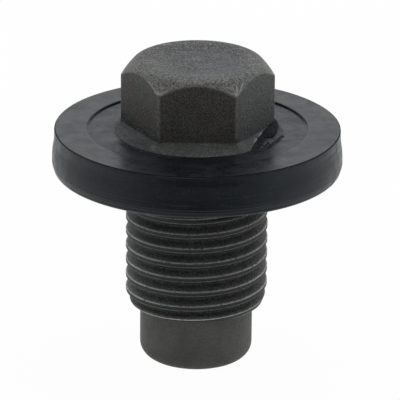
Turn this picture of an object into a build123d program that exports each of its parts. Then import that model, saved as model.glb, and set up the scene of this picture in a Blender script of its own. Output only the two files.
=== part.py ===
from build123d import *
from math import atan2, cos, degrees, radians, tan
import os

# Oil drain plug with an M14 x 1.5 right-hand thread and a 13 mm hex head.
# The steel body is formed in one piece and a rubber seal is moulded round the
# rim of its flange. All sizes are in millimetres. The plug stands on the end
# of its pilot at Z = 0, with its axis on Z and the head up.

os.makedirs("parts", exist_ok=True)

# Pilot, the plain nose below the thread
pilot_dia = 11.0
pilot_length = 5.85        # up to the square shoulder where the thread starts
pilot_bevel = 0.75         # the end's edge is broken by this much

# Shank and rolled thread
shank_length = 19.9        # end of the pilot to the stop face under the flange
blank_step = 0.45          # the shoulder and the neck lie this far inside the crest
lead_length = 1.1          # the thread grows to full size over this length
neck_length = 2.9          # plain neck between the run-out and the stop face
runout_length = 0.6
thread_dia = 13.9
thread_pitch = 1.5
crest_width = 0.45         # flat left on the rolled crest
flank_angle = 30.0         # each flank, measured from square to the axis
groove_entry = 1.22        # turns that the groove's tool starts below the shoulder
fade_turns = 0.5           # turns over which the groove fades out at the top

# Flange
flange_dia = 24.8
flange_thickness = 3.5

# Hex head
hex_across_flats = 13.0
hex_corner_radius = 0.3
head_height = 7.1          # flange to the top of the head
crown_inset = 0.4          # the rim of the top lies this far inside the flats
crown_angle = 48.0         # slope of the worn chamfer below level
rim_width = 1.0            # flat rim between the chamfer and the dish in the top
dish_slope_width = 1.4     # from the rim in to the dish's flat floor
dish_depth = 0.3
collar_flare = 1.45        # the flare's round foot stands this far out from the flats
collar_height = 0.9

# Rubber seal
seal_wall = 1.65           # thickness of the rubber round the rim
seal_overlap = 1.7         # how far it laps over the top of the flange
seal_skin = 0.05           # thin rubber skin on the flange from the collar to the step
seal_proud_top = 0.17      # the step in the rubber stands this far above the flange
seal_lip = 0.5             # the sealing lip stands this far below the flange
seal_foot_bevel = 0.5      # the wall's lower corner is eased by this much

# Heights, radii and the flare's slope, worked out from the sizes above
thread_radius = thread_dia / 2
blank_radius = thread_radius - blank_step
flank_slope = tan(radians(flank_angle))
thread_depth = (thread_pitch - crest_width) / 2 / flank_slope
root_radius = thread_radius - thread_depth
thread_end_z = shank_length - neck_length
flange_top_z = shank_length + flange_thickness
head_top_z = flange_top_z + head_height
collar_top_z = flange_top_z + collar_height
collar_radius = hex_across_flats / 2 + collar_flare
flare_angle = degrees(atan2(collar_flare, collar_height))
crown_radius = hex_across_flats / 2 - crown_inset
dish_radius = crown_radius - rim_width
flange_radius = flange_dia / 2

# The groove's section is a V, drawn a little proud of the thread's crest.
tool_proud = 0.1
groove_rise = thread_depth + tool_proud
groove_half_width = groove_rise * flank_slope
groove_start_z = pilot_length - groove_entry * thread_pitch
fade_height = fade_turns * thread_pitch
fade_start_z = thread_end_z - fade_height
fade_cone_angle = degrees(atan2(groove_rise, fade_height))


def groove_section(path):
    """Section of the thread's groove, at the start of its path."""
    with BuildSketch(Plane(origin=path @ 0, x_dir=(1, 0, 0), z_dir=path % 0)) as section:
        with BuildLine():
            Polyline(
                (0, 0),
                (groove_rise, groove_half_width),
                (groove_rise, -groove_half_width),
                close=True,
            )
        make_face()
    return section.sketch


# Cutter for the groove: a right-hand helix from below the shoulder to the fade
with BuildPart() as groove_tool:
    with BuildLine() as groove_path:
        Helix(
            pitch=thread_pitch,
            height=fade_start_z - groove_start_z,
            radius=root_radius,
            center=(0, 0, groove_start_z),
        )
    groove_line = groove_path.line
    sweep(groove_section(groove_line), path=groove_line, is_frenet=True)

# Cutter for the run-out: the same section climbs outwards until it leaves the shank
with BuildPart() as fade_tool:
    with BuildLine() as fade_path:
        Helix(
            pitch=thread_pitch / cos(radians(fade_cone_angle)),
            height=fade_height,
            radius=root_radius,
            cone_angle=fade_cone_angle,
        )
    fade_line = fade_path.line
    sweep(groove_section(fade_line), path=fade_line, is_frenet=True)
groove_end = groove_line @ 1
fade_turn = degrees(atan2(groove_end.Y, groove_end.X))
fade_cut = fade_tool.part.rotate(Axis.Z, fade_turn).moved(Location((0, 0, fade_start_z)))

# Threaded shank with its pilot
with BuildPart() as shank:
    with BuildSketch(Plane.XZ):
        with BuildLine():
            Polyline(
                (0, 0),
                (pilot_dia / 2, 0),
                (pilot_dia / 2, pilot_length),
                (thread_radius, pilot_length),
                (thread_radius, thread_end_z),
                (blank_radius, thread_end_z),
                (blank_radius, shank_length),
                (0, shank_length),
                close=True,
            )
        make_face()
    revolve(axis=Axis.Z)
    add(groove_tool.part, mode=Mode.SUBTRACT)
    add(fade_cut, mode=Mode.SUBTRACT)
    # The crest tapers from the blank at both ends of the thread.
    clear_radius = thread_radius + 2 * tool_proud
    with BuildSketch(Plane.XZ):
        with BuildLine():
            Polyline(
                (blank_radius, pilot_length),
                (thread_radius, pilot_length + lead_length),
                (clear_radius, pilot_length + lead_length),
                (clear_radius, pilot_length),
                close=True,
            )
        make_face()
        with BuildLine():
            Polyline(
                (blank_radius, thread_end_z),
                (thread_radius, thread_end_z - runout_length),
                (clear_radius, thread_end_z - runout_length),
                (clear_radius, thread_end_z),
                close=True,
            )
        make_face()
    revolve(axis=Axis.Z, mode=Mode.SUBTRACT)
    pilot_edge = shank.edges().filter_by(GeomType.CIRCLE).group_by(Axis.Z)[0]
    chamfer(pilot_edge, length=min(pilot_bevel, 0.4 * pilot_length, 0.4 * pilot_dia))

with BuildPart() as plug_body:
    # Hex prism, and the flare that spreads from its foot to the round collar
    with BuildSketch(Plane.XY.offset(collar_top_z)) as hexagon:
        RegularPolygon(radius=hex_across_flats / 2, side_count=6, major_radius=False)
        fillet(vertices(), radius=hex_corner_radius)
    extrude(amount=head_top_z - collar_top_z)
    extrude(hexagon.sketch, amount=-collar_height, taper=-flare_angle)
    # Turned outline of the head: dished top, chamfer and round foot
    chamfer_z = head_top_z - (collar_radius - crown_radius) * tan(radians(crown_angle))
    with BuildSketch(Plane.XZ):
        with BuildLine():
            Polyline(
                (0, flange_top_z),
                (0, head_top_z - dish_depth),
                (dish_radius - dish_slope_width, head_top_z - dish_depth),
                (dish_radius, head_top_z),
                (crown_radius, head_top_z),
                (collar_radius, chamfer_z),
                (collar_radius, flange_top_z),
                close=True,
            )
        make_face()
    revolve(axis=Axis.Z, mode=Mode.INTERSECT)
    # Flange
    with BuildSketch(Plane.XY.offset(shank_length)):
        Circle(flange_radius)
    extrude(amount=flange_thickness)
    add(shank.part)
plug_body.part.label = "plug_body"
export_step(plug_body.part, "parts/plug_body.step")

# Rubber seal, bonded round the rim and over the top of the flange
seal_radius = flange_radius + seal_wall
seal_top_z = flange_top_z + seal_proud_top
seal_bottom_z = shank_length - seal_lip
with BuildPart() as rubber_seal:
    with BuildSketch(Plane.XZ):
        with BuildLine():
            Polyline(
                (collar_radius, flange_top_z),
                (collar_radius, flange_top_z + seal_skin),
                (flange_radius - seal_overlap, flange_top_z + seal_skin),
                (flange_radius - seal_overlap, seal_top_z),
                (seal_radius, seal_top_z),
                (seal_radius, seal_bottom_z),
                (flange_radius, seal_bottom_z),
                (flange_radius, flange_top_z),
                close=True,
            )
        make_face()
    revolve(axis=Axis.Z)
    foot_edge = rubber_seal.edges().filter_by(GeomType.CIRCLE).group_by(Axis.Z)[0].sort_by(SortBy.RADIUS)[-1]
    chamfer(foot_edge, length=min(seal_foot_bevel, 0.6 * seal_wall))
rubber_seal.part.label = "rubber_seal"
export_step(rubber_seal.part, "parts/rubber_seal.step")
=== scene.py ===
import math

import bpy
import numpy as np
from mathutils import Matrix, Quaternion, Vector, noise


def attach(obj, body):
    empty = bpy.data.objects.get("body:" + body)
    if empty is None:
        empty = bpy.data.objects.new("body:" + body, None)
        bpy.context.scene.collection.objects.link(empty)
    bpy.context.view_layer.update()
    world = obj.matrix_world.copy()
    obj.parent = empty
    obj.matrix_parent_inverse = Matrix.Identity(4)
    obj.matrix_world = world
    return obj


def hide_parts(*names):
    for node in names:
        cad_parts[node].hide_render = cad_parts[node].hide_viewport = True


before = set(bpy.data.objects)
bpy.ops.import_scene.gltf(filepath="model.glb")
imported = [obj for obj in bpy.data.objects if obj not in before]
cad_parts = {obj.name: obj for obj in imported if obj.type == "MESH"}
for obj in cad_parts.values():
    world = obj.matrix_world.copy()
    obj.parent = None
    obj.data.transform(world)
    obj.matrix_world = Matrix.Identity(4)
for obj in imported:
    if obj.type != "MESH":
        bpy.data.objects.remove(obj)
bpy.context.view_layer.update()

# All shapes are worked out in millimetres and made in metres.
MM = 0.001

PILOT_R = 5.5
PILOT_TOP = 5.85
PILOT_ROUND = 1.4
BLANK_R = 6.5
THREAD_R = 6.92
ROOT_R = 6.06
PITCH = 1.5
CREST_HALF = 0.2
CREST_FRONT_Z = 5.89
LEAD = 1.1
THREAD_TOP = 17.0
RUNOUT = 0.6
STOP_Z = 19.9
FLANGE_R = 12.4
LAND_Z = 23.4
FOOT_R = 7.95
FLATS_END_Z = 24.3
APOTHEM = 6.49
CORNER_R = 0.42
TOP_Z = 30.5
RIM_R = 6.09
CHAMFER = math.radians(49)
ROLL_R = 0.95
SEAL_STEP_R = 10.7
SEAL_TOP = 23.57
SEAL_R = 14.05
SEAL_BOTTOM = 19.4


def smooth(lo, hi, x):
    """0 below lo, 1 above hi, with a smooth step between."""
    t = np.clip((np.asarray(x, float) - lo) / (hi - lo), 0, 1)
    return t * t * (3 - 2 * t)


def soft_min(a, b, k):
    """The smaller of a and b, with the corner between them rounded over k."""
    h = np.clip(0.5 + 0.5 * (b - a) / k, 0, 1)
    return b + (a - b) * h - k * h * (1 - h)


def fuzz(points, size, seed=0.0):
    """Smooth noise from -1 to 1 at each point, with lumps of about size millimetres."""
    shift = Vector((seed, 2.3 * seed, -1.7 * seed))
    flat = np.asarray(points, float).reshape(-1, 3) / size
    values = [noise.noise(Vector(p) + shift) for p in flat]
    return np.array(values).reshape(np.shape(points)[:-1])


def columns():
    """Angles round the axis, closer together at the hexagon's six corners."""
    t = (np.arange(40) + 0.5) / 40 * 2 - 1
    sector = np.radians(30) * (0.35 * t + 0.65 * np.sin(t * math.pi / 2))
    return np.concatenate([sector + math.radians(30 + 60 * i) for i in range(6)])


THETA = columns()
COS, SIN = np.cos(THETA), np.sin(THETA)


def hexagon(apothem, corner_r):
    """Distance from the axis to a hexagon with rounded corners, at each column."""
    off_corner = (THETA + math.pi / 6) % (math.pi / 3) - math.pi / 6
    off_flat = math.pi / 6 - np.abs(off_corner)
    centre = (apothem - corner_r) / math.cos(math.pi / 6)
    tangent = math.atan2(corner_r * 0.5, centre + corner_r * math.cos(math.pi / 6))
    flat = apothem / np.cos(off_flat)
    inside = np.maximum(corner_r**2 - (centre * np.sin(off_corner)) ** 2, 0)
    arc = centre * np.cos(off_corner) + np.sqrt(inside)
    return np.where(np.abs(off_corner) < tangent, arc, flat)


def window(start, full, end_full, end):
    """1 between two angles in degrees, fading to 0 at start and end, at each column."""
    a = (np.degrees(THETA) - start) % 360
    rise = smooth(0, full - start, a)
    fall = 1 - smooth(end_full - start, end - start, a)
    return rise * fall


HEX = hexagon(APOTHEM, CORNER_R)


def ring(radius, z):
    """One row of points: radius and z are numbers or one value for each column."""
    r = radius + np.zeros(len(THETA))
    return np.stack([r * COS, r * SIN, z + np.zeros(len(THETA))], axis=-1)


def make_object(name, points, faces, material, attributes=()):
    """A mesh object from points in millimetres, with coincident points joined."""
    keys = {}
    index = np.empty(len(points), int)
    kept = []
    for i, p in enumerate(np.round(points, 5)):
        k = (p[0], p[1], p[2])
        if k not in keys:
            keys[k] = len(kept)
            kept.append(i)
        index[i] = keys[k]
    clean = []
    for f in faces:
        g = []
        for v in index[list(f)]:
            if v not in g:
                g.append(int(v))
        if len(g) > 2:
            clean.append(g)
    mesh = bpy.data.meshes.new(name)
    mesh.from_pydata((points[kept] * MM).tolist(), [], clean)
    for label, values in attributes:
        layer = mesh.attributes.new(label, "FLOAT", "POINT")
        layer.data.foreach_set("value", np.asarray(values, float)[kept])
    mesh.polygons.foreach_set("use_smooth", [True] * len(mesh.polygons))
    mesh.validate()
    mesh.update()
    obj = bpy.data.objects.new(name, mesh)
    bpy.context.scene.collection.objects.link(obj)
    mesh.materials.append(material)
    return obj


def band_faces(first, second, count):
    """Quads between two closed rows of points that start at these indices."""
    return [
        (first + j, first + (j + 1) % count, second + (j + 1) % count, second + j)
        for j in range(count)
    ]


# Head


def crown_profile():
    """Radius and height of the dished top, the soft rim and the worn chamfer."""
    reach = ROLL_R * math.tan(CHAMFER / 2)
    r = np.concatenate([np.linspace(0.0, 3.6, 13)[1:], np.linspace(3.75, RIM_R - reach, 15)])
    dish = 0.3 * (1 - smooth(3.3, 5.3, r))
    rows = list(zip(r, TOP_Z + 0.02 - dish))
    for a in np.linspace(0, CHAMFER, 9)[1:]:
        rows.append((RIM_R - reach + ROLL_R * math.sin(a), TOP_Z + 0.02 - ROLL_R * (1 - math.cos(a))))
    return rows


AZIMUTH = (np.degrees(THETA) + 180) % 360 - 180
# The foot leaves the flats at a crisp edge in front, and in a soft fillet on the left and right
FLARE_POWER = 1.15 + 0.9 * (window(-178, -164, -128, -120) + window(-57, -50, -4, 4))
# How far up the foot the rubber has climbed: 1 is the foot's outer edge, 0 the flats
RUBBER_EDGE = np.interp(
    AZIMUTH, [-60, -52, -45, -39, -28, -12, 0, 14, 30, 44], [1, 1, 0.8, 0.62, 0.42, 0.25, 0.1, 0.12, 0.4, 1]
)


def flare(t):
    """Radius and height of the head's flared foot, t from 0 at the flats to 1 on the flange."""
    t = t + np.zeros(len(THETA))
    spread = np.clip(t, 0, 1) ** FLARE_POWER
    return HEX + (FOOT_R - HEX) * spread, FLATS_END_Z - t * (FLATS_END_Z - LAND_Z)


def head_rows():
    """Rows from the middle of the top down to the round foot on the flange."""
    rows, wear_and_painted_light = [], []
    profile = crown_profile()
    last_r, last_z = profile[-1]
    for r, z in profile:
        rows.append(ring(soft_min(r + np.zeros(len(THETA)), HEX + 0.02, 0.12), z))
        wear_and_painted_light.append(0.3 * smooth(5.5, 6.2, r) + np.zeros(len(THETA)))
    levels = np.concatenate([np.linspace(last_z, 28.55, 36)[1:], np.linspace(28.55, 24.45, 14)[1:]])
    for z in levels:
        cone = last_r + (last_z - z) / math.tan(CHAMFER)
        edge = 0.6 * np.exp(-(((cone - HEX) / 0.08) ** 2))
        on_chamfer = smooth(0.05, -0.1, cone - HEX)
        tip = smooth(6.95, 7.25, cone) * on_chamfer
        corner = 0.42 * np.exp(-((HEX - HEX.max()) / 0.035) ** 2) * smooth(24.3, 25.0, z)
        rows.append(ring(soft_min(cone + np.zeros(len(THETA)), HEX, 0.1), z))
        wear_and_painted_light.append(np.maximum.reduce([edge, 0.3 * on_chamfer, tip, corner]))
    # A burr stands up along the edge of the rubber on the right, broken by one nick
    burr = window(-42, -40, -35, -33.5) + window(-31, -29.5, -12, -10)
    for t in np.concatenate([[-0.1, -0.05], np.linspace(0.0, 1.0, 19)]):
        r, z = flare(t)
        lip = burr * np.exp(-(((t - RUBBER_EDGE + 0.03) / 0.055) ** 2))
        rows.append(ring(r + 0.1 * lip, z + 0.08 * lip))
        wear_and_painted_light.append(np.clip(lip * 1.7, 0, 1))
    return rows, wear_and_painted_light


# Thread


def thread_radius(z, theta):
    """Distance from the axis to the thread's surface, and its painted light: highlights along the crest edges and
    upward flanks, less painted shade on the crest face.
    """
    turn = (theta + math.pi / 2) / (2 * math.pi)
    u = ((z - CREST_FRONT_Z) / PITCH - turn + 0.5) % 1.0 - 0.5
    u = np.abs(u) * PITCH
    signed = (((z - CREST_FRONT_Z) / PITCH - turn + 0.5) % 1.0 - 0.5) * PITCH
    flank = THREAD_R - (u - CREST_HALF) / math.tan(math.radians(30))
    seam = 0.035 * np.exp(-((signed + 0.01) / 0.06) ** 2)
    crest = THREAD_R - seam
    lead = BLANK_R + (THREAD_R - BLANK_R) * np.clip((z - PILOT_TOP) / LEAD, 0, 1)
    runout = BLANK_R + (THREAD_R - BLANK_R) * np.clip((THREAD_TOP - z) / RUNOUT, 0, 1)
    outer = np.minimum(np.minimum(crest, lead), runout)
    body = soft_min(flank, outer, 0.07)
    root = -soft_min(-body, -(ROOT_R + np.zeros_like(u)), 0.2)
    fill = smooth(PILOT_TOP + 0.35, PILOT_TOP - 0.05, z)
    fill = np.maximum(fill, smooth(THREAD_TOP - 0.9, THREAD_TOP, z))
    r = root + (np.minimum(outer, BLANK_R) - root) * fill * (root < BLANK_R)
    # Painted highlights: a bright line along each crest's upper edge, a fainter one along its lower edge, and
    # lighter upward-facing flanks; the crest face is painted in shade
    upper = 2.4 * np.exp(-(((signed - CREST_HALF) / 0.045) ** 2))
    lower = 0.9 * np.exp(-(((signed + CREST_HALF) / 0.035) ** 2))
    flank_highlight = 0.16 * smooth(0.55, 0.28, signed) * smooth(0.2, 0.24, signed)
    painted_crest_shade = smooth(CREST_HALF, CREST_HALF - 0.05, u)
    worn_and_highlit = np.maximum.reduce([upper, lower, flank_highlight]) - painted_crest_shade
    return r, worn_and_highlit


def thread_grid():
    """Points and faces whose rows follow the helix, cut off square at both ends."""
    steps = np.array(
        [-0.75, -0.64, -0.52, -0.4, -0.3, -0.245, -0.22, -0.2, -0.175, -0.14, -0.07,
         -0.01, 0.05, 0.12, 0.155, 0.18, 0.2, 0.22, 0.245, 0.3, 0.4, 0.52, 0.64]
    )
    per_turn = len(steps)
    turns = math.ceil((THREAD_TOP - PILOT_TOP) / PITCH) + 3
    rows = np.concatenate([steps + PITCH * k for k in range(turns)])
    turn = (THETA + math.pi / 2) / (2 * math.pi)
    start = CREST_FRONT_Z - 2 * PITCH
    z = start + rows[:, None] + PITCH * turn[None, :]
    z = np.clip(z, PILOT_TOP, THREAD_TOP)
    theta = np.broadcast_to(THETA, z.shape)
    r, crest_light = thread_radius(z, theta)
    points = np.stack([r * np.cos(theta), r * np.sin(theta), z], axis=-1)
    count = len(THETA)
    faces = []
    for i in range(len(rows) - 1):
        for j in range(count - 1):
            a = i * count + j
            faces.append((a, a + count, a + count + 1, a + 1))
        k = i + per_turn
        if k + 1 < len(rows):
            faces.append(
                (i * count + count - 1, (i + 1) * count + count - 1, (k + 1) * count, k * count)
            )
    return points, crest_light, faces


def steel_plug(material):
    """The whole steel body as one closed skin."""
    count = len(THETA)
    rows, wear_and_painted_light = head_rows()
    hidden = LAND_Z - 0.12
    for r, z in ((8.3, hidden), (FLANGE_R - 0.2, hidden), (FLANGE_R, hidden - 0.2), (FLANGE_R, STOP_Z + 0.2), (FLANGE_R - 0.2, STOP_Z)):
        rows.append(ring(r, z))
        wear_and_painted_light.append(np.zeros(count))
    for r in (10.0, 8.0, 6.9):
        rows.append(ring(r, STOP_Z))
        wear_and_painted_light.append(np.zeros(count))
    for r, z in ((BLANK_R + 0.12, STOP_Z - 0.12), (BLANK_R, STOP_Z - 0.4), (BLANK_R, 18.4), (BLANK_R, THREAD_TOP)):
        rows.append(ring(r, z))
        wear_and_painted_light.append(np.zeros(count))
    upper = np.concatenate(rows)
    upper_wear = np.concatenate(wear_and_painted_light)
    faces = []
    for i in range(len(rows) - 1):
        faces += [f[::-1] for f in band_faces(i * count, (i + 1) * count, count)]
    pole = len(upper)
    top = np.array([[0, 0, TOP_Z + 0.02 - 0.3]])
    faces += [(pole, j, (j + 1) % count) for j in range(count)]
    points = [upper, top]
    wear_and_light_parts = [upper_wear, np.zeros(1)]
    grid, crest_light, grid_faces = thread_grid()
    base = pole + 1
    points.append(grid.reshape(-1, 3))
    # The thread's values add painted highlights on its crest edges and upward flanks, and painted shade on its crest
    # faces, to the head's wear
    wear_and_light_parts.append(crest_light.reshape(-1))
    faces += [tuple(base + v for v in f[::-1]) for f in grid_faces]
    base += grid.shape[0] * count
    nose = [ring(BLANK_R, PILOT_TOP), ring(BLANK_R - 0.08, PILOT_TOP - 0.06), ring(PILOT_R + 0.1, PILOT_TOP - 0.06), ring(PILOT_R, PILOT_TOP - 0.16)]
    nose_wear = [0.2, 0.2, 0.0, 0.0]
    for z in np.linspace(PILOT_TOP - 0.4, PILOT_ROUND, 12):
        nose.append(ring(PILOT_R, z))
        nose_wear.append(0.0)
    for a in np.linspace(0, math.pi / 2, 10)[1:]:
        nose.append(ring(PILOT_R - PILOT_ROUND * (1 - math.cos(a)), PILOT_ROUND * (1 - math.sin(a))))
        nose_wear.append(0.0)
    for r in (3.6, 3.0, 2.0, 1.0):
        nose.append(ring(r, 0.0))
        nose_wear.append(0.0)
    for i in range(len(nose) - 1):
        faces += [f[::-1] for f in band_faces(base + i * count, base + (i + 1) * count, count)]
    points.append(np.concatenate(nose))
    wear_and_light_parts.append(np.repeat(nose_wear, count))
    last = base + (len(nose) - 1) * count
    pole = base + len(nose) * count
    points.append(np.zeros((1, 3)))
    wear_and_light_parts.append(np.zeros(1))
    faces += [(pole, last + (j + 1) % count, last + j) for j in range(count)]
    points = np.concatenate(points)
    return make_object("steel_plug", points, faces, material, [("wear_and_painted_light", np.concatenate(wear_and_light_parts))])


# Rubber


def seal_wall_radius(z):
    """Outline of the rubber's wall: drawn in below the top edge, with a low bulge."""
    heights = [19.70, 19.85, 20.1, 20.4, 20.9, 21.4, 21.8, 22.2, 22.6, 23.3, 23.5]
    radii = [13.93, 13.97, 14.04, 14.085, 14.085, 14.045, 13.99, 13.93, 13.885, 13.875, 13.865]
    return float(np.interp(z, heights, radii))


def seal_rows():
    """Closed rows round the rubber's section, starting at its inner edge, and how rough each is."""
    rows, rough = [], []

    def add(radius, z, coarse=0.0):
        rows.append(ring(radius, z))
        rough.append(coarse + np.zeros(len(THETA)))

    coat = smooth(0.99, 0.9, RUBBER_EDGE)
    edge = 0.03 * fuzz(ring(FOOT_R, 0), 0.5, 5.0)
    start = np.where(coat > 0, RUBBER_EDGE + 0.05 * fuzz(ring(FOOT_R, 0), 0.4, 3.1), 1.0)
    block = window(-27, -20, 8, 14)
    r, z = flare(start)
    add(r + edge * (1 - coat), z - 0.03, coat)
    for k, s in enumerate(np.linspace(0, 1, 15)):
        t = start + (1 - start) * s
        r, z = flare(t)
        skin = ring(r, z)
        lift = 0.03 + coat * (0.06 + 0.07 * fuzz(skin, 0.45, 7.7) + 0.05 * fuzz(skin, 0.2, 1.7))
        lift = lift * (0.3 if k == 0 else 1.0)
        r = r + 0.75 * lift + edge * (1 - coat)
        steep = np.maximum(r, 7.72 + 0.1 * s + 0.04 * fuzz(skin, 0.4, 4.4))
        add(r + (steep - r) * block * min(1, 2.5 * s), z + 0.6 * lift + 0.12 * block * (1 - s), coat)
    # Scuffed black patches on the land: beside the coat, and at the front left
    patch = np.maximum(window(-66, -56, -16, -6), 0.9 * window(-152, -140, -108, -96))
    for r in np.concatenate([[8.0, 8.08, 8.17], np.linspace(8.27, 9.2, 9), np.linspace(9.35, SEAL_STEP_R - 0.3, 8)]):
        skin = ring(r, LAND_Z)
        ragged = fuzz(skin, 0.8, 5.5) + 0.6 * fuzz(skin, 0.3, 8.5)
        share = patch * smooth(0.55, 0.0, (r - FOOT_R - 0.25) - 0.35 * ragged)
        add(r, LAND_Z + 0.03 + (0.005 + 0.015 * share) * fuzz(skin, 0.4, 2.2), share)
    # A groove runs along the step, deepest at the back
    hollow = window(2, 40, 138, 184) * (1 + 0.35 * fuzz(ring(SEAL_STEP_R, 0), 0.9, 1.3))
    low = LAND_Z + 0.03 - 0.1 * hollow
    add(SEAL_STEP_R - 0.19, LAND_Z + 0.03)
    add(SEAL_STEP_R - 0.13, LAND_Z + 0.03 - 0.05 * hollow, 0.5 * hollow)
    add(SEAL_STEP_R - 0.08, low, hollow)
    add(SEAL_STEP_R + 0.0, low, hollow)
    add(SEAL_STEP_R + 0.01, low + 0.04, hollow)
    add(SEAL_STEP_R + 0.02, SEAL_TOP - 0.02, hollow)
    add(SEAL_STEP_R + 0.04, SEAL_TOP - 0.004, 0.2 * hollow)
    add(SEAL_STEP_R + 0.09, SEAL_TOP)
    for r in np.linspace(11.1, 13.6, 12):
        add(r, SEAL_TOP)
    wander = 0.02 * fuzz(ring(SEAL_R, 0), 4.0, 9.0) + 0.012 * fuzz(ring(SEAL_R, 0), 0.8, 4.0)
    # Crisp crease along the top edge, then the wall
    for r, z, coarse in ((13.74, 0.0, 0.0), (13.775, -0.005, 0.4), (13.79, -0.06, 1.0), (13.815, -0.075, 1.0), (13.835, -0.05, 0.6), (13.85, -0.055, 0.0)):
        add(r + wander, SEAL_TOP + z, coarse)
    levels = np.concatenate([np.linspace(23.49, 20.45, 22), [20.37, 20.34, 20.31, 20.28, 20.25, 20.18, 20.12, 20.09, 20.06, 20.03, 19.95, 19.86, 19.8]])
    for z in levels:
        ridge = 0.028 * math.exp(-(((z - 20.30) / 0.03) ** 2)) + 0.02 * math.exp(-(((z - 20.07) / 0.025) ** 2))
        add(seal_wall_radius(z) + ridge + 0.6 * wander, z)
    corner = seal_wall_radius(19.8)
    for a in np.linspace(0, math.pi / 2, 8)[1:]:
        add(corner - 0.36 * (1 - math.cos(a)), 19.8 - 0.37 * math.sin(a))
    for r, z in ((12.9, SEAL_BOTTOM + 0.02), (12.55, SEAL_BOTTOM + 0.05), (12.42, SEAL_BOTTOM + 0.18), (FLANGE_R, STOP_Z)):
        add(r, z)
    hidden = LAND_Z - 0.11
    for r, z in ((FLANGE_R, hidden - 0.1), (FLANGE_R - 0.1, hidden), (10.0, hidden), (8.5, hidden)):
        add(r, z)
    return rows, rough


def seal_rubber(material):
    count = len(THETA)
    rows, rough = seal_rows()
    faces = []
    for i in range(len(rows)):
        faces += band_faces(i * count, (i + 1) % len(rows) * count, count)
    return make_object("seal_rubber", np.concatenate(rows), faces, material, [("coarse", np.concatenate(rough))])


# Materials


class Shader:
    """Builds one node material, with Principled BSDF as its surface."""

    def __init__(self, name):
        self.material = bpy.data.materials.new(name)
        self.material.use_nodes = True
        self.tree = self.material.node_tree
        self.tree.nodes.clear()
        self.bsdf = self.add("ShaderNodeBsdfPrincipled")
        out = self.add("ShaderNodeOutputMaterial")
        self.link(self.bsdf.outputs["BSDF"], out.inputs["Surface"])
        self.coords = self.add("ShaderNodeTexCoord").outputs["Object"]

    def add(self, kind, **settings):
        made = self.tree.nodes.new(kind)
        for key, value in settings.items():
            setattr(made, key, value)
        return made

    def link(self, source, target):
        if isinstance(source, bpy.types.NodeSocket):
            self.tree.links.new(source, target)
        else:
            target.default_value = source

    def scaled(self, scale):
        made = self.add("ShaderNodeMapping")
        self.link(self.coords, made.inputs["Vector"])
        made.inputs["Scale"].default_value = scale
        return made.outputs["Vector"]

    def noise(self, scale, detail=3.0, rough=0.5, vector=None):
        """Noise from 0 to 1 with scale lumps a metre, or scale as three numbers."""
        made = self.add("ShaderNodeTexNoise")
        made.inputs["Detail"].default_value = detail
        made.inputs["Roughness"].default_value = rough
        if isinstance(scale, tuple):
            self.link(self.scaled(scale), made.inputs["Vector"])
            made.inputs["Scale"].default_value = 1.0
        else:
            self.link(vector or self.coords, made.inputs["Vector"])
            made.inputs["Scale"].default_value = scale
        return made.outputs["Fac"]

    def ramp(self, value, low, high, to_low=0.0, to_high=1.0):
        made = self.add("ShaderNodeMapRange", interpolation_type="SMOOTHSTEP")
        self.link(value, made.inputs["Value"])
        made.inputs["From Min"].default_value = low
        made.inputs["From Max"].default_value = high
        made.inputs["To Min"].default_value = to_low
        made.inputs["To Max"].default_value = to_high
        return made.outputs["Result"]

    def math(self, operation, a, b=0.0):
        made = self.add("ShaderNodeMath", operation=operation)
        self.link(a, made.inputs[0])
        self.link(b, made.inputs[1])
        return made.outputs[0]

    def mix(self, factor, a, b):
        made = self.add("ShaderNodeMix", data_type="RGBA")
        self.link(factor, made.inputs["Factor"])
        self.link((*a, 1) if isinstance(a, tuple) else a, made.inputs[6])
        self.link((*b, 1) if isinstance(b, tuple) else b, made.inputs[7])
        return made.outputs[2]

    def bright(self, colour, factor):
        """The colour times a number."""
        made = self.add("ShaderNodeVectorMath", operation="SCALE")
        self.link(colour, made.inputs[0])
        self.link(factor, made.inputs["Scale"])
        return made.outputs[0]

    def vector(self, operation, a, b=None):
        made = self.add("ShaderNodeVectorMath", operation=operation)
        self.link(a, made.inputs[0])
        if b is not None:
            self.link(b, made.inputs[1])
        return made

    def spot(self, place, full, end):
        """1 within full metres of a place, fading to 0 at end."""
        away = self.vector("DISTANCE", self.coords, place).outputs["Value"]
        return self.ramp(away, end, full)

    def stroke(self, start, end, width):
        """1 along a straight line between two places, for a scratch."""
        start, end = Vector(start), Vector(end)
        along = (end - start).normalized()
        here = self.vector("SUBTRACT", self.coords, tuple(start)).outputs[0]
        reach = self.vector("DOT_PRODUCT", here, tuple(along)).outputs["Value"]
        reach = self.math("MINIMUM", self.math("MAXIMUM", reach, 0.0), (end - start).length)
        nearest = self.add("ShaderNodeVectorMath", operation="SCALE")
        nearest.inputs[0].default_value = tuple(along)
        self.link(reach, nearest.inputs["Scale"])
        away = self.vector("DISTANCE", here, nearest.outputs[0]).outputs["Value"]
        return self.ramp(away, 1.6 * width, 0.5 * width)

    def xyz(self):
        made = self.add("ShaderNodeSeparateXYZ")
        self.link(self.coords, made.inputs[0])
        return made.outputs

    def attribute(self, name):
        made = self.add("ShaderNodeAttribute", attribute_name=name)
        return made.outputs["Fac"]

    def bump(self, height, distance, normal=None):
        made = self.add("ShaderNodeBump")
        made.inputs["Distance"].default_value = distance
        self.link(height, made.inputs["Height"])
        if normal is not None:
            self.link(normal, made.inputs["Normal"])
        return made.outputs["Normal"]


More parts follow.
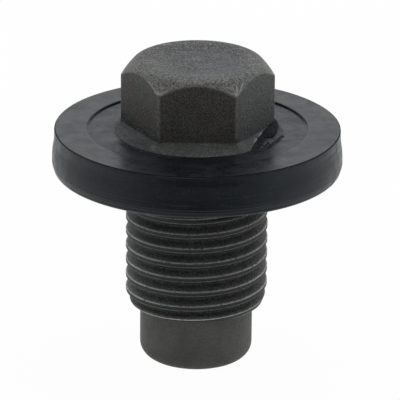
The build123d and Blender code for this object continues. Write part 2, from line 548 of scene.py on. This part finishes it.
def steel_material():
    s = Shader("phosphated_steel")
    place = s.xyz()
    x, z = place["X"], place["Z"]
    normal_z = s.add("ShaderNodeSeparateXYZ")
    s.link(s.add("ShaderNodeNewGeometry").outputs["True Normal"], normal_z.inputs[0])
    up = s.ramp(normal_z.outputs["Z"], 0.45, 0.75)
    on_nose = s.ramp(z, 0.0060, 0.0057)
    on_head = s.ramp(z, 0.0230, 0.0234)
    on_foot = s.math("MULTIPLY", s.ramp(z, 0.02440, 0.02425), on_head)
    on_top = s.math("MULTIPLY", up, s.ramp(z, 0.0285, 0.0290))
    # Colour of each part of the plug, with slow mottling; the nose's much lighter colour is painted light on the
    # same steel coat as the thread
    blotch = s.ramp(s.noise(300, 4.0, 0.6), 0.38, 0.62)
    nose = s.mix(blotch, (0.092, 0.091, 0.082), (0.122, 0.121, 0.112))
    thread = s.mix(blotch, (0.044, 0.046, 0.047), (0.062, 0.063, 0.064))
    sides = s.mix(blotch, (0.050, 0.053, 0.047), (0.068, 0.068, 0.064))
    brown = s.ramp(s.noise(330, 2.0, 0.5, s.scaled((1.0, 1.0, 1.6))), 0.46, 0.6)
    sides = s.mix(s.math("MULTIPLY", brown, 0.6), sides, (0.066, 0.052, 0.045))
    # Painted light: the flats on the right are lightened, as if lit more from that side
    sides = s.mix(s.ramp(x, 0.0035, 0.0045, 0.0, 0.55), sides, (0.098, 0.101, 0.103))
    top = s.mix(s.ramp(s.noise(420, 3.0, 0.6), 0.4, 0.6), (0.052, 0.053, 0.053), (0.068, 0.067, 0.062))
    centre = s.spot((0.0004, 0.0000, 0.0302), 0.0022, 0.0048)
    top = s.mix(s.math("MULTIPLY", centre, s.ramp(s.noise(900, 3.0, 0.6), 0.35, 0.55)), top, (0.040, 0.047, 0.053))
    chamfer = s.mix(s.ramp(s.noise(800, 3.0, 0.6), 0.4, 0.6), (0.082, 0.082, 0.076), (0.102, 0.100, 0.090))
    top = s.mix(s.ramp(normal_z.outputs["Z"], 0.93, 0.75), top, chamfer)
    foot = s.mix(blotch, (0.080, 0.080, 0.080), (0.105, 0.104, 0.100))
    # Painted shade: the foot is darkened to the left and right, where its upward face would catch the light
    foot = s.mix(s.ramp(s.math("ABSOLUTE", x), 0.0036, 0.0050), foot, (0.046, 0.047, 0.050))
    base = s.mix(on_nose, thread, nose)
    base = s.mix(on_head, base, sides)
    base = s.mix(on_foot, base, foot)
    base = s.mix(on_top, base, top)
    # Smears of rubber residue on the foot's left side
    on_left = s.ramp(x, -0.0030, -0.0042)
    low = s.ramp(z, 0.0258, 0.0246)
    smear = s.ramp(s.noise(1.0, 3.0, 0.65, s.scaled((700, 700, 3600))), 0.44, 0.54)
    soiled = s.math("MULTIPLY", s.math("MULTIPLY", smear, low), s.math("MULTIPLY", on_left, on_head))
    base = s.mix(s.math("MULTIPLY", soiled, 0.8), base, (0.012, 0.014, 0.016))
    # Fine crystals, darker and lighter than the coat, strongest on the top and the thread
    depth = s.math("SUBTRACT", 1.0, on_nose)
    depth = s.math("MULTIPLY", depth, s.math("SUBTRACT", 1.0, s.math("MULTIPLY", on_head, 0.35)))
    depth = s.math("ADD", depth, s.math("MULTIPLY", on_top, 0.9))
    depth = s.math("SUBTRACT", depth, s.math("MULTIPLY", on_foot, 0.3))
    depth = s.math("ADD", depth, 0.3)
    grain = s.noise(6800, 2.0, 0.7)
    coarse = s.noise(3300, 3.0, 0.7)
    crystals = s.ramp(grain, 0.38, 0.62, -1.0, 1.0)
    lumps = s.ramp(coarse, 0.36, 0.64, -0.3, 0.3)
    uneven = s.math("MULTIPLY", s.math("ADD", crystals, lumps), depth)
    base = s.bright(base, s.math("ADD", s.math("MULTIPLY", uneven, 0.55), 1.0))
    # Painted shade: the thread's crest faces, negative in the attribute, are darkened
    painted_crest_shade = s.ramp(s.attribute("wear_and_painted_light"), 0.0, -0.6)
    base = s.mix(s.math("MULTIPLY", painted_crest_shade, 0.75), base, (0.014, 0.015, 0.016))
    # Bare bright metal on the worn edges, specks and a few scratches; on the thread the brighter bare colour paints
    # highlights on the crest edges and upward flanks
    chips = s.ramp(s.noise(4300, 2.0, 0.7), 0.30, 0.56)
    worn_and_highlit = s.math("MAXIMUM", s.math("MULTIPLY", s.attribute("wear_and_painted_light"), chips), 0.0)
    specks = s.ramp(s.noise(4600, 2.0, 0.6), 0.60, 0.67, 0.0, 0.8)
    worn_and_highlit = s.math("MAXIMUM", worn_and_highlit, s.math("MULTIPLY", specks, on_top))
    turned = s.add("ShaderNodeMapping")
    s.link(s.coords, turned.inputs["Vector"])
    turned.inputs["Rotation"].default_value = (0, 0, math.radians(18))
    turned.inputs["Scale"].default_value = (260, 5200, 500)
    scratch = s.ramp(s.noise(1.0, 2.0, 0.5, turned.outputs["Vector"]), 0.62, 0.70, 0.0, 0.6)
    worn_and_highlit = s.math("MAXIMUM", worn_and_highlit, s.math("MULTIPLY", scratch, on_top))
    for start, end, width in SCRATCHES:
        worn_and_highlit = s.math("MAXIMUM", worn_and_highlit, s.stroke(start, end, width))
    bare_and_glint = s.mix(s.ramp(z, 0.0186, 0.0180), (0.31, 0.305, 0.29), (0.50, 0.49, 0.47))
    worn_and_highlit = s.math("MINIMUM", worn_and_highlit, 1.0)
    base = s.mix(worn_and_highlit, base, bare_and_glint)
    s.link(base, s.bsdf.inputs["Base Color"])
    rough = s.math("ADD", s.ramp(coarse, 0.3, 0.7, 0.40, 0.6), s.math("MULTIPLY", on_nose, 0.08))
    s.link(rough, s.bsdf.inputs["Roughness"])
    s.link(s.math("MULTIPLY", worn_and_highlit, 0.6), s.bsdf.inputs["Metallic"])
    s.bsdf.inputs["IOR"].default_value = 1.45
    normal = s.bump(grain, 0.00005)
    s.link(s.bump(coarse, 0.00007, normal), s.bsdf.inputs["Normal"])
    return s.material


def rubber_material():
    s = Shader("black_rubber")
    place = s.xyz()
    z = place["Z"]
    radius = s.math("SQRT", s.math("ADD", s.math("POWER", place["X"], 2.0), s.math("POWER", place["Y"], 2.0)))
    on_land = s.ramp(radius, 0.01072, 0.01066)
    on_wall = s.ramp(radius, 0.01378, 0.01382)
    coarse = s.attribute("coarse")
    streak = s.noise(1.0, 3.0, 0.65, s.scaled((160, 160, 5200)))
    base = s.mix(s.ramp(streak, 0.35, 0.65), (0.0012, 0.0024, 0.0036), (0.0036, 0.0060, 0.0084))
    # Painted shade: a darker band along the middle of the wall; painted reflection: paler streaks above and below it
    wall_shade = s.math("MULTIPLY", s.ramp(z, 0.0213, 0.0217), s.ramp(z, 0.0228, 0.0224))
    patchy = s.ramp(s.noise(1.0, 2.0, 0.5, s.scaled((90, 90, 500))), 0.4, 0.56)
    wall_shade = s.math("MULTIPLY", s.math("MULTIPLY", wall_shade, on_wall), patchy)
    base = s.mix(s.math("MULTIPLY", wall_shade, 0.85), base, (0.0004, 0.0010, 0.0016))
    sheen_streaks = s.ramp(s.noise(1.0, 2.0, 0.6, s.scaled((110, 110, 8200))), 0.56, 0.68, 0.0, 0.8)
    sheen_streaks = s.math("MULTIPLY", s.math("MULTIPLY", sheen_streaks, on_wall), s.math("SUBTRACT", 1.0, wall_shade))
    base = s.mix(sheen_streaks, base, (0.022, 0.028, 0.034))
    speck = s.noise(4800, 2.0, 0.7)
    base = s.mix(s.ramp(speck, 0.6, 0.72, 0.0, 0.5), base, (0.045, 0.053, 0.062))
    base = s.mix(coarse, base, s.mix(s.ramp(speck, 0.45, 0.62), (0.0022, 0.0026, 0.0032), (0.020, 0.023, 0.027)))
    s.link(base, s.bsdf.inputs["Base Color"])
    smear = s.noise(700, 4.0, 0.65)
    rough = s.math("ADD", s.ramp(smear, 0.3, 0.7, 0.24, 0.4), s.math("MULTIPLY", on_land, 0.08))
    rough = s.math("ADD", rough, s.math("MULTIPLY", sheen_streaks, 0.2))
    s.link(s.math("MAXIMUM", rough, s.math("MULTIPLY", coarse, 0.95)), s.bsdf.inputs["Roughness"])
    s.bsdf.inputs["IOR"].default_value = 1.46
    s.bsdf.inputs["Specular Tint"].default_value = (0.83, 0.92, 1.0, 1)
    share = s.math("ADD", s.math("MULTIPLY", on_land, 0.9), 0.2)
    scuff = s.math("MULTIPLY", s.noise(3000, 3.0, 0.7), share)
    normal = s.bump(scuff, 0.00003)
    normal = s.bump(streak, 0.000012, normal)
    s.link(s.bump(s.math("MULTIPLY", s.noise(2400, 3.0, 0.7), coarse), 0.00025, normal), s.bsdf.inputs["Normal"])
    return s.material


# Scratches and bright spots on the top of the head: ends and half width in metres
TOP_SKIN = 0.0303
SCRATCHES = (
    ((-0.00134, -0.00488, TOP_SKIN), (0.00009, -0.00397, TOP_SKIN), 0.00005),
    ((-0.00458, -0.00554, 0.0299), (-0.00278, -0.00404, TOP_SKIN), 0.00006),
    ((0.00337, 0.00264, TOP_SKIN), (0.00406, 0.00417, TOP_SKIN), 0.00007),
    ((0.00462, 0.00147, TOP_SKIN), (0.00531, 0.00269, TOP_SKIN), 0.00006),
    ((0.00480, -0.00340, TOP_SKIN), (0.00560, -0.00110, TOP_SKIN), 0.00005),
    ((0.00045, 0.00529, TOP_SKIN), (0.00120, 0.00501, TOP_SKIN), 0.00012),
    ((-0.00520, -0.00480, 0.0297), (-0.00400, -0.00600, 0.0291), 0.00006),
    ((-0.00470, -0.00470, 0.0299), (-0.00380, -0.00625, 0.0291), 0.00005),
    ((0.00370, -0.00560, 0.0298), (0.00380, -0.00640, 0.0291), 0.00008),
    ((0.00430, -0.00500, 0.0299), (0.00400, -0.00600, 0.0293), 0.00006),
    ((0.00520, -0.00380, 0.0300), (0.00590, -0.00190, 0.0302), 0.00006),
)

steel = steel_material()
rubber = rubber_material()

plug = steel_plug(steel)
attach(plug, "root")
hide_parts("plug_body")

seal = seal_rubber(rubber)
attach(seal, "root")
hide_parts("rubber_seal")


# Floor, light and camera


def floor_material():
    """White to the camera with a trace of shadow, darker in front of the object, clear from below."""
    material = bpy.data.materials.new("floor")
    material.use_nodes = True
    tree = material.node_tree
    tree.nodes.clear()
    new, link = tree.nodes.new, tree.links.new
    out = new("ShaderNodeOutputMaterial")
    diffuse = new("ShaderNodeBsdfDiffuse")
    diffuse.inputs["Color"].default_value = (0.8, 0.8, 0.8, 1)
    seen = new("ShaderNodeEmission")
    seen.inputs["Color"].default_value = (1, 1, 1, 1)
    shadowed = new("ShaderNodeMixShader")
    shadowed.inputs[0].default_value = 0.975
    link(diffuse.outputs[0], shadowed.inputs[1])
    link(seen.outputs[0], shadowed.inputs[2])
    path = new("ShaderNodeLightPath")
    coords = new("ShaderNodeTexCoord")
    place = new("ShaderNodeVectorMath")
    place.operation = "DISTANCE"
    link(coords.outputs["Object"], place.inputs[0])
    place.inputs[1].default_value = (0, -0.11, 0)
    fall = new("ShaderNodeMapRange")
    fall.interpolation_type = "SMOOTHSTEP"
    link(place.outputs["Value"], fall.inputs["Value"])
    fall.inputs["From Min"].default_value = 0.045
    fall.inputs["From Max"].default_value = 0.11
    fall.inputs["To Min"].default_value = 0.12
    fall.inputs["To Max"].default_value = 0.75
    mirrored = new("ShaderNodeEmission")
    link(fall.outputs["Result"], mirrored.inputs["Strength"])
    glossy = new("ShaderNodeMixShader")
    link(path.outputs["Is Glossy Ray"], glossy.inputs[0])
    link(diffuse.outputs[0], glossy.inputs[1])
    link(mirrored.outputs[0], glossy.inputs[2])
    camera = new("ShaderNodeMixShader")
    link(path.outputs["Is Camera Ray"], camera.inputs[0])
    link(glossy.outputs[0], camera.inputs[1])
    link(shadowed.outputs[0], camera.inputs[2])
    clear = new("ShaderNodeBsdfTransparent")
    below = new("ShaderNodeMixShader")
    link(new("ShaderNodeNewGeometry").outputs["Backfacing"], below.inputs[0])
    link(camera.outputs[0], below.inputs[1])
    link(clear.outputs[0], below.inputs[2])
    link(below.outputs[0], out.inputs["Surface"])
    return material


def make_floor():
    mesh = bpy.data.meshes.new("floor")
    rings, around = [0.05, 0.2, 0.8, 3.0], 48
    verts = [(0, 0, 0)]
    for r in rings:
        verts += [(r * math.cos(2 * math.pi * i / around), r * math.sin(2 * math.pi * i / around), 0) for i in range(around)]
    faces = [(0, 1 + i, 1 + (i + 1) % around) for i in range(around)]
    for k in range(len(rings) - 1):
        a, b = 1 + k * around, 1 + (k + 1) * around
        faces += [(a + i, b + i, b + (i + 1) % around, a + (i + 1) % around) for i in range(around)]
    mesh.from_pydata(verts, [], faces)
    obj = bpy.data.objects.new("floor", mesh)
    bpy.context.scene.collection.objects.link(obj)
    mesh.materials.append(floor_material())


def make_world():
    """White behind the object; the room's light is dimmer from the viewer's side."""
    world = bpy.data.worlds.new("studio")
    bpy.context.scene.world = world
    world.use_nodes = True
    tree = world.node_tree
    tree.nodes.clear()
    new, link = tree.nodes.new, tree.links.new
    out = new("ShaderNodeOutputWorld")
    coords = new("ShaderNodeTexCoord")
    split = new("ShaderNodeSeparateXYZ")
    link(coords.outputs["Generated"], split.inputs[0])
    fall = new("ShaderNodeMapRange")
    fall.interpolation_type = "SMOOTHSTEP"
    link(split.outputs["Y"], fall.inputs["Value"])
    fall.inputs["From Min"].default_value = -0.7
    fall.inputs["From Max"].default_value = 0.6
    fall.inputs["To Min"].default_value = 0.3
    fall.inputs["To Max"].default_value = 0.9
    room = new("ShaderNodeBackground")
    link(fall.outputs["Result"], room.inputs["Strength"])
    white = new("ShaderNodeBackground")
    white.inputs["Strength"].default_value = 1.0
    white.inputs["Color"].default_value = (1, 1, 1, 1)
    room.inputs["Color"].default_value = (0.97, 0.985, 1.0, 1)
    path = new("ShaderNodeLightPath")
    mix = new("ShaderNodeMixShader")
    link(path.outputs["Is Camera Ray"], mix.inputs[0])
    link(room.outputs[0], mix.inputs[1])
    link(white.outputs[0], mix.inputs[2])
    link(mix.outputs[0], out.inputs["Surface"])


def lamp(name, place, aim, size, watts, color=(1, 1, 1)):
    data = bpy.data.lights.new(name, "AREA")
    data.shape = "DISK"
    data.size = size
    data.energy = watts
    data.color = color
    obj = bpy.data.objects.new(name, data)
    obj.location = place
    obj.rotation_mode = "QUATERNION"
    obj.rotation_quaternion = (Vector(aim) - Vector(place)).to_track_quat("-Z", "Y")
    bpy.context.scene.collection.objects.link(obj)


make_floor()
make_world()
lamp("overhead", (0.05, 0.12, 0.42), (0, 0, 0.02), 0.3, 0.5)

camera_data = bpy.data.cameras.new("camera")
camera_data.sensor_width = 36
camera_data.lens = 379.6
camera = bpy.data.objects.new("camera", camera_data)
camera.location = (0, -0.38400, 0.16210)
aim = Vector((0.000300, 0, 0.01605)) - camera.location
camera.rotation_mode = "QUATERNION"
camera.rotation_quaternion = aim.to_track_quat("-Z", "Y") @ Quaternion((0, 0, 1), math.radians(0.474))
bpy.context.scene.collection.objects.link(camera)
bpy.context.scene.camera = camera

bpy.context.scene.view_settings.view_transform = "Standard"
